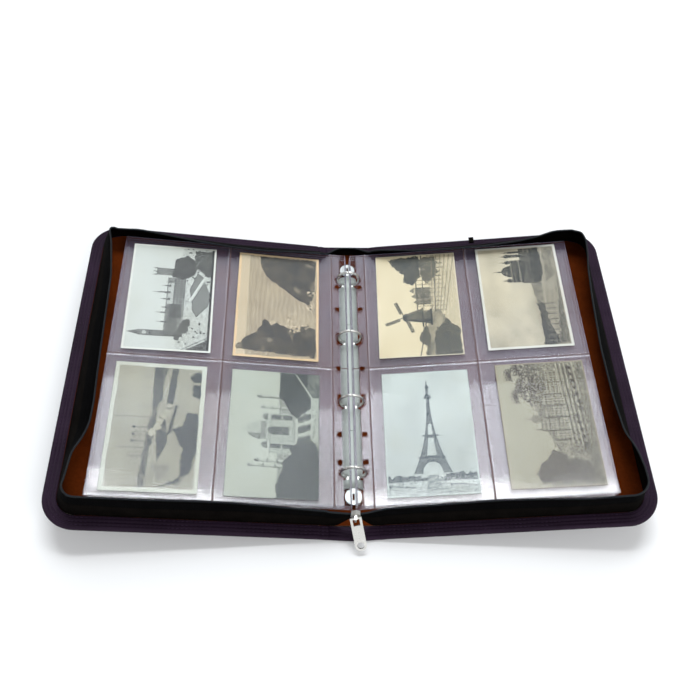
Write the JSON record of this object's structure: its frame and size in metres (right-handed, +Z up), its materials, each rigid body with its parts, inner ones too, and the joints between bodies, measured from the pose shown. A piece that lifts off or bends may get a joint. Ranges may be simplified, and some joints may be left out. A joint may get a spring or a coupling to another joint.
{
  "type": "stamp album",
  "caption": "Zip-around ring binder album lying open, with pocket leaves of picture postcards, a metal ring mechanism and a zip puller.",
  "frame": {"origin": "middle of the spine's underside, on the surface the album lies on", "axes": "+X to the right along the right cover, +Y along the spine away from the slider, +Z up"},
  "size_m": [0.5766, 0.377, 0.0701],
  "materials": {
    "leatherette": "fine grained dark plum leatherette",
    "suede": "rust brown suede lining",
    "board": "grey board",
    "black_cloth": "black woven tape",
    "zip_coil": "blue black nylon coil",
    "nickel": "satin nickel",
    "plate_nickel": "pale nickel",
    "clear_film": "clear glossy film",
    "card": "printed card"
  },
  "bodies": {
    "spine": {"spine_skin": "leatherette", "spine_board": "board", "spine_lining": "suede", "spine_binding_front": "leatherette", "spine_binding_back": "leatherette", "web_front_left": "black_cloth", "web_front_right": "black_cloth", "web_back": "black_cloth", "ring_base_plate": "plate_nickel", "base_rivet_front": "nickel", "base_rivet_back": "nickel", "zip_slider": "nickel"},
    "zip_puller": {"zip_puller": "nickel"},
    "front_lever": {"opening_lever_front": "nickel"},
    "back_lever": {"opening_lever_back": "nickel"},
    "left_cover": {"left_cover_skin": "leatherette", "left_cover_board": "board", "left_cover_lining": "suede", "left_cover_binding": "leatherette", "left_gusset": "black_cloth", "left_zip_coil": "zip_coil"},
    "left_under_leaves": {"left_under_leaf_1": "clear_film", "left_under_leaf_2": "clear_film"},
    "left_leaf": {"left_leaf_back_film": "clear_film", "left_leaf_front_film": "clear_film", "left_card_1": "card", "left_card_2": "card", "left_card_3": "card", "left_card_4": "card"},
    "left_rings": {"left_ring_blade": "nickel", "left_ring_1": "nickel", "left_ring_2": "nickel", "left_ring_3": "nickel", "left_ring_4": "nickel"},
    "right_cover": {"right_cover_skin": "leatherette", "right_cover_board": "board", "right_cover_lining": "suede", "right_cover_binding": "leatherette", "right_gusset": "black_cloth", "right_zip_coil": "zip_coil", "right_edge_tab": "black_cloth"},
    "right_under_leaves": {"right_under_leaf_1": "clear_film", "right_under_leaf_2": "clear_film"},
    "right_leaf": {"right_leaf_back_film": "clear_film", "right_leaf_front_film": "clear_film", "right_card_1": "card", "right_card_2": "card", "right_card_3": "card", "right_card_4": "card"},
    "right_rings": {"right_ring_blade": "nickel", "right_ring_1": "nickel", "right_ring_2": "nickel", "right_ring_3": "nickel", "right_ring_4": "nickel"}
  },
  "joints": [
    {"name": "left_cover_fold", "type": "hinge", "parent": "spine", "child": "left_cover", "pos_m": [-0.028, 0, 0.0035], "axis": [0, 1, 0], "range_deg": [0, 80], "deforming": ["left_gusset", "left_zip_coil"]},
    {"name": "left_under_leaves_turn", "type": "hinge", "parent": "spine", "child": "left_under_leaves", "pos_m": [0, 0, 0.0195], "axis": [0, 1, 0], "range_deg": [0, 80]},
    {"name": "left_leaf_turn", "type": "hinge", "parent": "left_under_leaves", "child": "left_leaf", "pos_m": [0, 0, 0.0195], "axis": [0, -1, 0], "range_deg": [-81, 0]},
    {"name": "left_rings_open", "type": "hinge", "parent": "spine", "child": "left_rings", "pos_m": [-0.0074, 0, 0.0067], "axis": [0, 1, 0], "range_deg": [-7, 0]},
    {"name": "right_cover_fold", "type": "hinge", "parent": "spine", "child": "right_cover", "pos_m": [0.028, 0, 0.0035], "axis": [0, -1, 0], "range_deg": [0, 80], "deforming": ["right_gusset", "right_zip_coil"]},
    {"name": "right_under_leaves_turn", "type": "hinge", "parent": "spine", "child": "right_under_leaves", "pos_m": [0, 0, 0.0195], "axis": [0, -1, 0], "range_deg": [0, 80]},
    {"name": "right_leaf_turn", "type": "hinge", "parent": "right_under_leaves", "child": "right_leaf", "pos_m": [0, 0, 0.0195], "axis": [0, 1, 0], "range_deg": [-81, 0]},
    {"name": "right_rings_open", "type": "hinge", "parent": "spine", "child": "right_rings", "pos_m": [0.0074, 0, 0.0067], "axis": [0, -1, 0], "range_deg": [-7, 0]},
    {"name": "front_lever_press", "type": "hinge", "parent": "spine", "child": "front_lever", "pos_m": [0, -0.1335, 0.007], "axis": [-1, 0, 0], "range_deg": [-7, 0]},
    {"name": "back_lever_press", "type": "hinge", "parent": "spine", "child": "back_lever", "pos_m": [0, 0.1335, 0.007], "axis": [1, 0, 0], "range_deg": [-7, 0]},
    {"name": "puller_swing", "type": "hinge", "parent": "spine", "child": "zip_puller", "pos_m": [0, -0.17195, 0.0315], "axis": [-0.9811, -0.1239, -0.1488], "range_deg": [0, 125]}
  ],
  "couplings": [
    {"joint": "left_under_leaves_turn", "follows": "left_cover_fold", "ratio": 1},
    {"joint": "right_under_leaves_turn", "follows": "right_cover_fold", "ratio": 1},
    {"joint": "right_rings_open", "follows": "left_rings_open", "ratio": 1},
    {"joint": "front_lever_press", "follows": "left_rings_open", "ratio": 1},
    {"joint": "back_lever_press", "follows": "left_rings_open", "ratio": 1}
  ]
}
